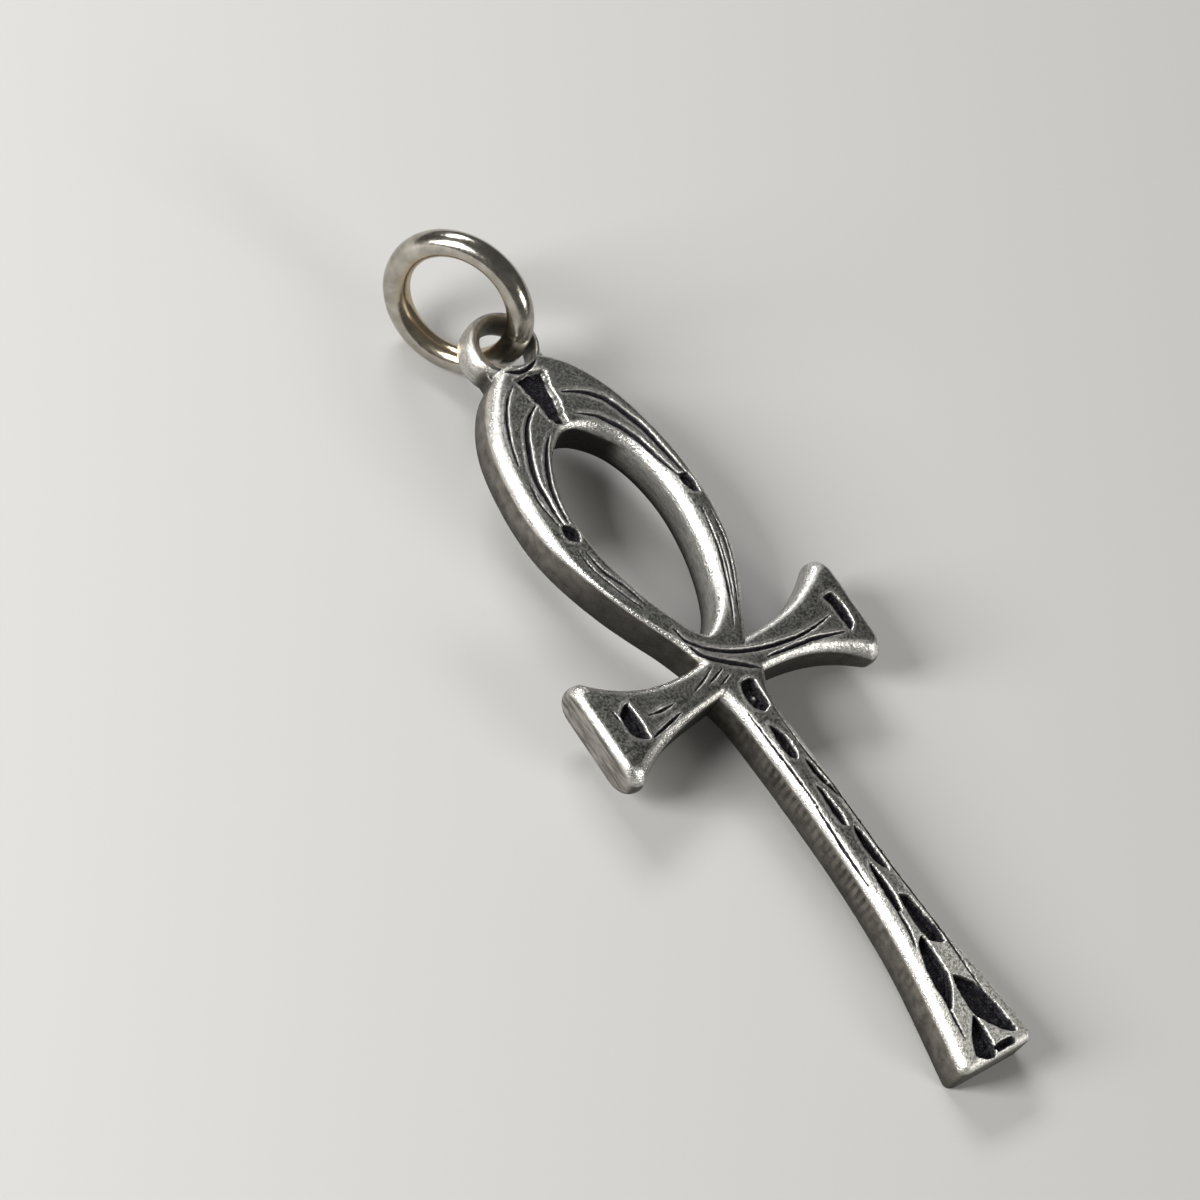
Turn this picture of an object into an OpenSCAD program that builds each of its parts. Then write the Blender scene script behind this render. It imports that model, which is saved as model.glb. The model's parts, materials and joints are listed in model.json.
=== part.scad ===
// Ankh pendant: one cast body with a carved front face and an eye at its top, and a plain
// round wire ring that passes through the eye.
// The pendant lies on its back. The ring stands through the eye, so the body rests on its
// foot and is propped up at the eye by the lowest point of the ring.
// The body is drawn flat about the middle of its cross, with +X across the arms, +Y towards
// the eye and +Z out of the carved face, and is then tipped into place.

/* [Body] */
// Thickness of the casting from its back to its carved face
body_t = 2.5; // [2:0.1:3.2]
// Radius of the worn edges around the carved face
front_edge_r = 0.5; // [0.35:0.05:0.6]
// Radius of the edges around the back
back_edge_r = 0.2; // [0.15:0.05:0.3]

/* [Loop] */
// Height of the loop's top above the middle of the cross
loop_top = 18.9; // [17:0.1:21]
// Half of the loop's greatest width
loop_half_w = 4.75; // [4.4:0.05:5.4]

/* [Arms] */
// Length of each arm from the middle of the cross
arm_len = 8.1; // [7.2:0.1:9.5]
// Half of the arm's height at its flared end
arm_end_half_h = 2.95; // [2.4:0.05:3.4]
// Half of the arm's height at its waist
arm_waist_half_h = 0.96; // [0.8:0.01:1.2]
// How late and how steeply the arm flares
arm_flare_power = 3.4; // [2.4:0.1:4]
// Radius of the soft edges at the arm's end
arm_end_edge_r = 0.76; // [0.5:0.01:0.9]
// How far the middle of the left arm sags
left_arm_sag = 0.34; // [0:0.02:0.4]

/* [Shaft] */
// Length of the shaft from the middle of the cross to its foot
shaft_len = 22.75; // [20:0.05:26]
// Half of the width of the foot
foot_half_w = 2.25; // [2:0.05:2.8]
// How much shorter the left side of the foot is than its right side
foot_slant = 0.15; // [0:0.05:0.6]
// How deep the foot's back is worn flat where the pendant lies on it
foot_wear = 0.04; // [0.03:0.01:0.08]

/* [Eye] */
// Width of the eye's wall at the top of the eye
eye_wall = 0.72; // [0.72:0.02:1.1]
// How far right of the eye's middle its hole lies, which thins the right wall by as much
eye_skew = 0.3; // [0:0.02:0.3]
// Thickness of the eye, measured along its hole
eye_t = 2; // [1.8:0.1:2.3]
// How far the middle of the eye lies right of the body's middle line
eye_x = -0.12; // [-0.3:0.02:0.2]
// Thickness of the neck under the eye
neck_t = 1.35; // [1:0.05:1.6]
// Half of the neck's width where it meets the loop
neck_half_w = 1.7; // [1.4:0.05:2]
// How deep the eye is sunk into the top of the loop
eye_sink = 1.18; // [0.8:0.02:1.3]
// How far right of the hole's middle the wire passes
wire_off_x = 0.42; // [0:0.02:0.5]
// Free space left around the wire where the eye is tightest
eye_gap = 0.07; // [0.05:0.01:0.15]

/* [Jump ring] */
// Thickness of the ring's wire
wire_d = 1.38; // [1.1:0.02:1.5]
// Inner diameter of the ring
ring_inner_d = 5.4; // [4.8:0.1:6.5]
// Lean of the ring from upright
ring_lean = 12; // [8:0.5:20]
// Turn of the ring's face from straight across the body
ring_turn = 24; // [16:0.5:30]
// How far up the ring's wire the eye sits, as an angle below the ring's middle
ring_pass = 11; // [5:1:20]

/* [Carving] */
// Depth of the leaves and pockets
pocket_depth = 0.51; // [0.3:0.01:0.6]
// Share of a pocket's outline that its floor keeps
pocket_floor_share = 0.78; // [0.6:0.02:0.9]
// Depth of the fine grooves
groove_depth = 0.24; // [0.15:0.01:0.35]
// Width of the fine grooves
groove_w = 0.25; // [0.16:0.01:0.36]

/* [Hidden] */

// How finely the rounded shapes are divided
front_steps = 3;
back_steps = 2;
loop_steps = 4;
bar_steps = 16;
groove_steps = 10;
leaf_steps = 5;
eye_steps = 40;
eye_profile_steps = 16;
ring_fn = 72;
wire_fn = 32;
wire_steps = 10;

// How far along the wire, as an angle around the ring, its room in the eye is looked at
wire_reach = 40;

// How far the cutters stand out of the face, and the thickness of a pocket's thin ends
over = 0.2;
sheet_t = 0.02;

// Smallest radius of a section's corner where the section is drawn in
least_edge_r = 0.04;

// Share of a groove's length left off at each tip, where it would be too thin
groove_tip = 0.04;

// How suddenly the foot's slant sets in along the shaft
slant_power = 6;

// Unevenness of the cast surface, and the turn of its direction from one point to the next
wobble = 0.005;
wobble_turn = 73;

// How far below the loop's top the neck is rooted
neck_depth = 1.2;

// How far into the eye's thinnest wall the room for its hole reaches
room_share = 0.4;

// The loop's outer edge and its opening, one row for each place around it, from the top
// over the right side. Columns: outer edge across and up, opening across and up, as
// shares of loop_half_w and loop_top.
OUT_X = 0;
OUT_Y = 1;
IN_X = 2;
IN_Y = 3;
LOOP = [
    [0.00, 1.000, 0.01, 0.759],
    [0.42, 0.947, 0.23, 0.735],
    [0.72, 0.830, 0.45, 0.672],
    [0.91, 0.675, 0.59, 0.576],
    [0.99, 0.500, 0.63, 0.450],
    [0.91, 0.315, 0.53, 0.302],
    [0.62, 0.155, 0.31, 0.172],
    [0.00, -0.048, 0.00, 0.106],
    [-0.44, 0.143, -0.18, 0.164],
    [-0.76, 0.317, -0.38, 0.275],
    [-0.95, 0.492, -0.52, 0.418],
    [-0.95, 0.661, -0.53, 0.561],
    [-0.80, 0.830, -0.38, 0.680],
    [-0.46, 0.952, -0.18, 0.738]
];

// The shaft's two sides at even steps from the middle of the cross to the foot.
// Columns: left and right half-width as shares of foot_half_w.
SHAFT = [
    [0.72, 0.84],
    [0.51, 0.44],
    [0.44, 0.46],
    [0.40, 0.50],
    [0.38, 0.53],
    [0.38, 0.55],
    [0.42, 0.58],
    [0.50, 0.65],
    [0.65, 0.79],
    [0.84, 0.92],
    [1.02, 1.00]
];

// Grooves that follow the loop. Columns: first and last place around the loop, counted in
// rows of LOOP, and the share of the limb's width at each, from the opening outwards.
LOOP_GROOVES = [
    [0.60, 4.30, 0.48, 0.70],
    [0.60, 4.10, 0.22, 0.28],
    [13.2, 11.6, 0.70, 0.60],
    [13.5, 10.3, 0.42, 0.36],
    [13.3, 10.7, 0.12, 0.16],
    [10.2, 9.0, 0.35, 0.30]
];

// Curved cuts at the cross. Columns: start, bend and end, each across and up, as shares of
// arm_len and arm_end_half_h.
CROSS_CUTS = [
    [-0.19, 0.98, -0.07, 0.00, 0.37, -0.04],
    [-0.18, 0.91, -0.07, 0.07, 0.16, -0.25],
    [-0.15, 0.27, -0.03, 0.15, 0.16, -0.27],
    [0.37, -0.04, 0.55, -0.13, 0.79, -0.02],
    [0.43, -0.12, 0.61, -0.22, 0.79, -0.40],
    [-0.67, -0.10, -0.58, -0.15, -0.49, -0.16],
    [-0.73, -0.47, -0.61, -0.39, -0.49, -0.33]
];

// Pockets in the arms, the cross and the loop's crown. Corners across and up, as shares of
// arm_len and arm_end_half_h.
POCKETS = [
    [[-0.76, 0.24], [-0.84, 0.08], [-0.87, -0.19], [-0.82, -0.42], [-0.75, -0.48], [-0.73, -0.40]],
    [[0.82, 0.36], [0.90, 0.26], [0.90, -0.30], [0.85, -0.45], [0.77, -0.36]],
    [[-0.045, -0.43], [0.08, -0.42], [0.06, -0.86], [-0.01, -0.94]]
];

// The wedge in the crown. Columns: place around the loop, counted in rows of LOOP, and
// share of the limb's width.
WEDGE = [
    [-0.38, 0.80],
    [0.38, 0.78],
    [0.22, 0.06],
    [-0.22, 0.12]
];

// Leaves down the shaft, left and right by turns and growing towards the foot, with a short
// slot across the foot last.
// Columns: upper tip down and across, lower tip down and across, as shares of shaft_len and
// of the shaft's half-width there, and the leaf's half-width in the same share.
LEAVES = [
    [0.150, -0.22, 0.238, 0.06, 0.16],
    [0.252, 0.26, 0.372, 0.62, 0.17],
    [0.320, -0.12, 0.430, -0.02, 0.17],
    [0.430, 0.26, 0.553, 0.50, 0.24],
    [0.518, -0.16, 0.632, -0.28, 0.20],
    [0.610, 0.14, 0.735, 0.52, 0.27],
    [0.710, -0.10, 0.858, -0.50, 0.21],
    [0.815, 0.06, 0.972, 0.58, 0.20],
    [0.900, -0.12, 0.975, -0.30, 0.18],
    [0.977, -0.08, 0.984, 0.46, 0.045]
];

// Place and attitude of the ring. Its face's direction, a level line in its plane and the
// steepest line in its plane are unit vectors.
wire_r = wire_d / 2;
ring_r = ring_inner_d / 2 + wire_r;
ring_face = [-cos(ring_lean) * cos(ring_turn), -cos(ring_lean) * sin(ring_turn), sin(ring_lean)];
ring_level = [-sin(ring_turn), cos(ring_turn), 0];
ring_steep = [sin(ring_lean) * cos(ring_turn), sin(ring_lean) * sin(ring_turn), cos(ring_lean)];
ring_mid_z = wire_r + ring_r * ring_steep.z;

// The eye sits on the ring's wire, which sets how high it is held and how far the body tips.
// At its other end the body lies on the foot, where the round of the foot's end begins.
eye_mid_z = ring_mid_z - ring_r * sin(ring_pass) * ring_steep.z;
eye_hole_r = hole_radius();
eye_outer_r = eye_hole_r + eye_wall;
eye_y = loop_top - eye_sink + eye_outer_r;
rest_len = shaft_len - front_edge_r;
body_reach = norm([rest_len + eye_y, body_t / 2]);
body_tip = asin((eye_mid_z + foot_wear) / body_reach) - atan2(body_t / 2, rest_len + eye_y);

// The whole pendant is centred along its length, between the foot and the ring's far side.
foot_turn_y = -rest_len * cos(body_tip);
foot_end_y = foot_turn_y - (body_t - front_edge_r) * sin(body_tip) - front_edge_r;
crossing = [eye_x + eye_skew + wire_off_x, eye_y * cos(body_tip) - body_t / 2 * sin(body_tip), eye_mid_z];
ring_mid = crossing + ring_r * (cos(ring_pass) * ring_level + sin(ring_pass) * ring_steep);
ring_far_y = ring_mid.y + ring_r * sqrt(1 - ring_face.y * ring_face.y) + wire_r;
shift_y = -(foot_end_y + ring_far_y) / 2;
lift_z = rest_len * sin(body_tip) - foot_wear;

// Free radius that the leaning, curving wire needs in an eye with a rounded wall. At each
// place along the wire it is how far the wire reaches from the hole's axis, less how far the
// wall has drawn back at that height. The body's tip is too small to matter here.
function hole_radius() =
    let(
        thin_wall = eye_wall - eye_skew,
        inward = cos(ring_pass) * ring_level + sin(ring_pass) * ring_steep,
        along = cos(ring_pass) * ring_steep - sin(ring_pass) * ring_level,
        needs = [
            for (k = [-wire_steps : wire_steps])
                let(
                    a = wire_reach * k / wire_steps,
                    p = ring_r * (sin(a) * along + (1 - cos(a)) * inward),
                    dir = cos(a) * along + sin(a) * inward,
                    drawn_back = 1 - sqrt(max(0, 1 - pow(2 * p.z / eye_t, 2)))
                )
                if (abs(p.z) < eye_t / 2)
                    norm([p.x + wire_off_x, p.y]) + wire_r / abs(dir.z) - thin_wall / 2 * drawn_back
        ]
    )
    max(needs) + eye_gap;

function mix(a, b, t) = a + (b - a) * t;

// Smooth curve through four neighbouring rows of a table.
function spline(a, b, c, d, t) =
    0.5 * (2 * b + (c - a) * t + (2 * a - 5 * b + 4 * c - d) * t * t
        + (3 * b - a - 3 * c + d) * t * t * t);

// Row of a table that closes on itself, at any place between its rows.
function closed_row(table, place) =
    let(n = len(table), i = floor(place) + n)
    spline(table[(i - 1) % n], table[i % n], table[(i + 1) % n], table[(i + 2) % n],
        place - floor(place));

// Row of a table with two ends, at a share of its length.
function open_row(table, share) =
    let(
        last = len(table) - 1,
        place = min(max(share, 0), 1) * last,
        i = min(floor(place), last - 1)
    )
    spline(table[max(i - 1, 0)], table[i], table[i + 1], table[min(i + 2, last)], place - i);

// Point on the carved face of the loop, by its place around it and share of the limb's width.
function loop_point(place, share) =
    let(row = closed_row(LOOP, place))
    [
        mix(row[IN_X], row[OUT_X], share) * loop_half_w,
        mix(row[IN_Y], row[OUT_Y], share) * loop_top
    ];

// Left and right side of the shaft at a share of its length.
function shaft_side(down) = open_row(SHAFT, down) * foot_half_w;

// Point on the carved face of the shaft, by share of its length and of its half-width.
function shaft_point(down, across) =
    let(side = shaft_side(down))
    [(side[1] - side[0]) / 2 + across * (side[0] + side[1]) / 2, -down * shaft_len];

// Point on the carved face near the cross.
function cross_point(across, up) = [across * arm_len, up * arm_end_half_h];

// How far an arm has flared at a distance from the cross, its half-height there, and how
// far its middle line sags.
function arm_flare(x) = pow(min(x / (arm_len - arm_end_edge_r), 1), arm_flare_power);
function arm_half_h(x) = mix(arm_waist_half_h, arm_end_half_h, arm_flare(x));
function arm_sag(x) = x < 0 ? left_arm_sag * sin(180 * min(-x / arm_len, 1)) : 0;

// Quarter turn of a section's corner.
function corner(u, z, r, start, steps) = [
    for (k = [0 : steps])
        let(a = start + 90 * k / steps)
        [u + r * cos(a), z + r * sin(a)]
];

// Rounded section from u0 to u1 across the body's full thickness, drawn in by inset.
function section(u0, u1, r_back, r_front, inset) =
    let(
        rb = max(r_back - inset, least_edge_r),
        rf = max(r_front - inset, least_edge_r),
        low = inset,
        high = body_t - inset,
        left = u0 + inset,
        right = u1 - inset
    )
    concat(
        corner(left + rb, low + rb, rb, 180, back_steps),
        corner(right - rb, low + rb, rb, 270, back_steps),
        corner(right - rf, high - rf, rf, 0, front_steps),
        corner(left + rf, high - rf, rf, 90, front_steps)
    );

// Stations of a bar along one axis, from start to end, with its end worn round. Each is a
// pair: the place along the bar and how far the section is drawn in there.
function bar_end(end, r) = [
    for (k = [0 : front_steps])
        let(a = 90 * k / front_steps)
        [end - r + r * sin(a), r * (1 - cos(a))]
];
function bar_run(start, end) = [
    for (k = [0 : bar_steps - 1])
        [mix(start, end, k / bar_steps), 0]
];

// Solid skin over rings of equally many points. An open row of rings gets two flat ends. The
// points between them are moved a little in the body's plane, as the cast surface is uneven.
module skin(rings, closed) {
    n = len(rings);
    m = len(rings[0]);
    last = closed ? n - 1 : n - 2;
    points = [
        for (i = [0 : n - 1], j = [0 : m - 1])
            let(
                turn = wobble_turn * (i * m + j),
                reach = closed || (i > 0 && i < n - 1) ? wobble : 0
            )
            rings[i][j] + reach * [cos(turn), sin(turn), 0]
    ];
    sides = [
        for (i = [0 : last], j = [0 : m - 1])
            let(
                a = i * m + j,
                b = i * m + (j + 1) % m,
                c = (i + 1) % n * m + (j + 1) % m,
                d = (i + 1) % n * m + j
            )
            each [[a, c, b], [a, d, c]]
    ];
    ends = closed ? [] : [
        [for (j = [0 : m - 1]) j],
        [for (j = [m - 1 : -1 : 0]) (n - 1) * m + j]
    ];
    polyhedron(points, concat(sides, ends));
}

// Loop: a closed limb whose section spans from the opening to the outer edge.
module loop() {
    stations = len(LOOP) * loop_steps;
    rings = [
        for (k = [0 : stations - 1])
            let(
                place = k / loop_steps,
                inner = loop_point(place, 0),
                outer = loop_point(place, 1),
                width = norm(outer - inner),
                dir = (outer - inner) / width
            )
            [
                for (p = section(0, width, back_edge_r, front_edge_r, 0))
                    [inner.x + dir.x * p.x, inner.y + dir.y * p.x, p.y]
            ]
    ];
    skin(rings, true);
}

// One arm, drawn along +X and mirrored for the left side.
module arm(side) {
    stations = concat(bar_run(0, arm_len - arm_end_edge_r), bar_end(arm_len, arm_end_edge_r));
    rings = [
        for (s = stations)
            let(
                x = s[0],
                h = arm_half_h(x),
                sag = arm_sag(side * x),
                r_back = mix(back_edge_r, arm_end_edge_r, arm_flare(x)),
                r_front = mix(front_edge_r, arm_end_edge_r, arm_flare(x))
            )
            [
                for (p = section(-h - sag, h - sag, r_back, r_front, s[1]))
                    [x, p.x, p.y]
            ]
    ];
    mirror([side < 0 ? 1 : 0, 0, 0])
        skin(rings, false);
}

// Shaft with its slanting foot.
module shaft() {
    stations = concat(bar_run(0, shaft_len - front_edge_r), bar_end(shaft_len, front_edge_r));
    rings = [
        for (s = stations)
            let(
                down = s[0] / shaft_len,
                side = shaft_side(down),
                cut = foot_slant * pow(down, slant_power)
            )
            [
                for (p = section(-side[0], side[1], back_edge_r, front_edge_r, s[1]))
                    [p.x, cut * (side[1] - front_edge_r - p.x) / (side[0] + side[1]) - s[0], p.y]
            ]
    ];
    skin(rings, false);
}

// Eye: a ring with an oval wall, standing clear of the loop's crown. Its hole lies beside its
// middle.
module eye() {
    rings = [
        for (k = [0 : eye_steps - 1])
            let(
                turn = 360 * k / eye_steps,
                dir = [cos(turn), sin(turn)],
                inner = [eye_skew, 0] + eye_hole_r * dir,
                outer = eye_outer_r * dir
            )
            [
                for (j = [0 : eye_profile_steps - 1])
                    let(
                        a = 360 * j / eye_profile_steps,
                        p = mix(inner, outer, (1 + cos(a)) / 2)
                    )
                    [p.x, p.y, -eye_t / 2 * sin(a)]
            ]
    ];
    translate([eye_x, eye_y, body_t / 2])
        skin(rings, true);
}

// Neck: fills the corners between the eye and the loop's crown.
module neck() {
    hull() {
        translate([eye_x, eye_y, (body_t - neck_t) / 2])
            cylinder(r = eye_outer_r - eye_wall / 2, h = neck_t, $fn = eye_steps);
        translate([eye_x / 2, loop_top - neck_depth, (body_t - neck_t) / 2])
            cylinder(r = neck_half_w, h = neck_t, $fn = eye_steps);
    }
}

// Room for the eye's hole in the neck and the crown.
module eye_room() {
    translate([eye_x + eye_skew, eye_y, -over])
        cylinder(r = eye_hole_r + (eye_wall - eye_skew) * room_share, h = body_t + 2 * over, $fn = eye_steps);
}

// Fine groove along a path on the carved face, thinning out towards both ends.
module groove(path) {
    n = len(path) - 1;
    rings = [
        for (i = [0 : n])
            let(
                along = path[min(i + 1, n)] - path[max(i - 1, 0)],
                side = [-along.y, along.x] / norm(along),
                full = sqrt(sin(180 * mix(groove_tip, 1 - groove_tip, i / n))),
                half = groove_w / 2 * (1 + over / groove_depth) * full,
                deep = groove_depth * full,
                p = path[i]
            )
            [
                [p.x - side.x * half, p.y - side.y * half, body_t + over],
                [p.x, p.y, body_t - deep],
                [p.x + side.x * half, p.y + side.y * half, body_t + over]
            ]
    ];
    skin(rings, false);
}

// Groove that follows the loop.
module loop_groove(row) {
    groove([
        for (k = [0 : groove_steps])
            let(t = k / groove_steps)
            loop_point(mix(row[0], row[1], t), mix(row[2], row[3], t))
    ]);
}

// Groove bent once at the cross.
module cross_cut(row) {
    a = cross_point(row[0], row[1]);
    b = cross_point(row[2], row[3]);
    c = cross_point(row[4], row[5]);
    groove([
        for (k = [0 : groove_steps])
            let(t = k / groove_steps)
            mix(mix(a, b, t), mix(b, c, t), t)
    ]);
}

// Pocket with sloping walls under a convex outline on the carved face.
module pocket(outline) {
    middle = [for (i = [0 : 1]) sum([for (p = outline) p[i]]) / len(outline)];
    grow = 1 + (1 - pocket_floor_share) * over / pocket_depth;
    hull() {
        translate([0, 0, body_t - pocket_depth])
            linear_extrude(sheet_t)
                polygon([for (p = outline) mix(middle, p, pocket_floor_share)]);
        translate([0, 0, body_t + over])
            linear_extrude(sheet_t)
                polygon([for (p = outline) mix(middle, p, grow)]);
    }
}

function sum(list, i = 0) = i < len(list) ? list[i] + sum(list, i + 1) : 0;

// Leaf on the shaft, pointed at both tips.
module leaf(row) {
    head = shaft_point(row[0], row[1]);
    tail = shaft_point(row[2], row[3]);
    sides = shaft_side((row[0] + row[2]) / 2);
    half = row[4] * (sides[0] + sides[1]) / 2;
    along = (tail - head) / norm(tail - head);
    side = [-along.y, along.x];
    bulge = [for (k = [0 : leaf_steps]) [k / leaf_steps, half * sin(180 * k / leaf_steps)]];
    right = [for (b = bulge) mix(head, tail, b[0]) + side * b[1]];
    left = [for (k = [leaf_steps - 1 : -1 : 1]) mix(head, tail, bulge[k][0]) - side * bulge[k][1]];
    pocket(concat(right, left));
}

module carving() {
    for (row = LOOP_GROOVES)
        loop_groove(row);
    for (row = CROSS_CUTS)
        cross_cut(row);
    for (outline = POCKETS)
        pocket([for (p = outline) cross_point(p[0], p[1])]);
    pocket([for (p = WEDGE) loop_point(p[0], p[1])]);
    for (row = LEAVES)
        leaf(row);
}

// Tips the flat body into place.
module lying() {
    translate([0, shift_y, lift_z])
        rotate([body_tip, 0, 0])
            children();
}

// Everything under the floor around the foot, which the foot is worn down to.
module under_foot() {
    translate([-arm_len, shift_y - shaft_len - over, -body_t])
        cube([2 * arm_len, shaft_len, body_t]);
}

module ankh() {
    color("dimgray")
        difference() {
            lying() {
                difference() {
                    union() {
                        loop();
                        arm(1);
                        arm(-1);
                        shaft();
                        neck();
                    }
                    eye_room();
                    carving();
                }
                eye();
            }
            under_foot();
        }
}

module jump_ring() {
    color("silver")
        translate(ring_mid + [0, shift_y, 0])
            rotate([0, 90 - ring_lean, 180 + ring_turn])
                rotate_extrude($fn = ring_fn)
                    translate([ring_r, 0])
                        circle(r = wire_r, $fn = wire_fn);
}

ankh();
jump_ring();
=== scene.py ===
import json
import math

import bmesh
import bpy
import numpy as np
from mathutils import Euler, Matrix, Vector


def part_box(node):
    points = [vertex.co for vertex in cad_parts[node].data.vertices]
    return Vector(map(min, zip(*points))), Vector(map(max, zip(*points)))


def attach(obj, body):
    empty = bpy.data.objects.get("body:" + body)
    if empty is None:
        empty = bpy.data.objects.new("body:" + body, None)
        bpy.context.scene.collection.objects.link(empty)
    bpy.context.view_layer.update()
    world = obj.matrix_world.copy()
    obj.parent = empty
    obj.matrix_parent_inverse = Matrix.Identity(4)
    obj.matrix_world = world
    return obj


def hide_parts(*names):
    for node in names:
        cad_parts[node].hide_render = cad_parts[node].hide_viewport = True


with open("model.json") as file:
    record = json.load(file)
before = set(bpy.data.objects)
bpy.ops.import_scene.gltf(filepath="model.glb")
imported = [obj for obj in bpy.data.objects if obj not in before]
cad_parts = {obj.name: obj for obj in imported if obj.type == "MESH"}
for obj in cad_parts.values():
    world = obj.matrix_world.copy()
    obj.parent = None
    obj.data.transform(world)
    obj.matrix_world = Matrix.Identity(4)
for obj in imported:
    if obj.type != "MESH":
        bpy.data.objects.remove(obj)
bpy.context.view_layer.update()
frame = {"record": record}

# Oxidised silver ankh pendant with a plain wire ring. Shapes are worked out in millimetres in
# the pendant's own frame: the middle of the cross at the origin, +X across the arms, +Y
# towards the eye, +Z out of the carved face. They are then tipped into the frame's place.

MM = 0.001

# Sizes of the body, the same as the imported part's, in mm
BODY_T = 2.5
FRONT_EDGE_R = 0.5
BACK_EDGE_R = 0.2
LOOP_TOP = 18.9
LOOP_HALF_W = 4.75
ARM_LEN = 8.1
ARM_END_HALF_H = 2.95
ARM_WAIST_HALF_H = 0.96
ARM_FLARE_POWER = 3.4
ARM_END_EDGE_R = 0.76
LEFT_ARM_SAG = 0.34
SHAFT_LEN = 22.75
FOOT_HALF_W = 2.25
FOOT_SLANT = 0.15
FOOT_WEAR = 0.04
SLANT_POWER = 6

# Eye and ring, in mm and degrees
EYE_WALL = 0.72
EYE_SKEW = 0.3
EYE_T = 2.0
EYE_X = -0.12
EYE_SINK = 1.18
EYE_GAP = 0.07
NECK_T = 1.35
NECK_HALF_W = 1.7
NECK_DEPTH = 1.2
ROOM_SHARE = 0.4
WIRE_OFF_X = 0.42
WIRE_R = 0.69
RING_R = 2.7 + WIRE_R
RING_LEAN = math.radians(12)
RING_TURN = math.radians(24)
RING_PASS = math.radians(11)

# The stretch of wire that needs room in the eye, in degrees to both sides, and the places on it
PASS_SWEEP = 40
PASS_STEPS = 21

# Worn edges of the visible skin, in mm: the loop's inner right and outer left edges where they
# are worn round, the outer left edge where it is still crisp, the heights between these, the
# shaft's left edge, the corners and the rim of an arm's end, and the least radius of any edge
LOOP_WORN_R = 0.95
LOOP_CRISP_R = 0.28
LIMB_WORN_Y = (6.0, 12.0)
SHAFT_WORN_R = 0.75
ARM_END_CORNER_R = 1.15
ARM_END_RIM_R = 0.5
LEAST_R = 0.04

# Where the loop's inner right and outer left edges start to be worn and are fully so, as
# shares of LOOP_HALF_W, and the most of the loop's width that a worn edge may take
WORN_IN_X = (0.05, 0.4)
WORN_OUT_X = (0.1, 0.6)
MOST_WORN = 0.6

# How far the visible skin stays inside the arms' ends, in mm
SKIN_GAP = 0.004

# How finely the forms are divided before they are merged, the merged skin's cell in mm, its
# rounds of smoothing, and the most triangles that it keeps
FINE = {"corner": 6, "loop": 12, "bar": 90, "round": 96, "profile": 32}
CELL = 0.046
SMOOTHINGS = 4
MOST_TRIANGLES = 188000

# Loop, one row for each place around it from the top over the right side: outer edge across
# and up, opening across and up, as shares of LOOP_HALF_W and LOOP_TOP
LOOP = np.array([
    [0.00, 1.000, 0.01, 0.759],
    [0.42, 0.947, 0.23, 0.735],
    [0.72, 0.830, 0.45, 0.672],
    [0.91, 0.675, 0.59, 0.576],
    [0.99, 0.500, 0.63, 0.450],
    [0.91, 0.315, 0.53, 0.302],
    [0.62, 0.155, 0.31, 0.172],
    [0.00, -0.048, 0.00, 0.106],
    [-0.44, 0.143, -0.18, 0.164],
    [-0.76, 0.317, -0.38, 0.275],
    [-0.95, 0.492, -0.52, 0.418],
    [-0.95, 0.661, -0.53, 0.561],
    [-0.80, 0.830, -0.38, 0.680],
    [-0.46, 0.952, -0.18, 0.738],
])

# Left and right half-width of the shaft at even steps down it, as shares of FOOT_HALF_W
SHAFT = np.array([
    [0.72, 0.84],
    [0.51, 0.44],
    [0.44, 0.46],
    [0.40, 0.50],
    [0.38, 0.53],
    [0.38, 0.55],
    [0.42, 0.58],
    [0.50, 0.65],
    [0.65, 0.79],
    [0.84, 0.92],
    [1.02, 1.00],
])

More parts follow.
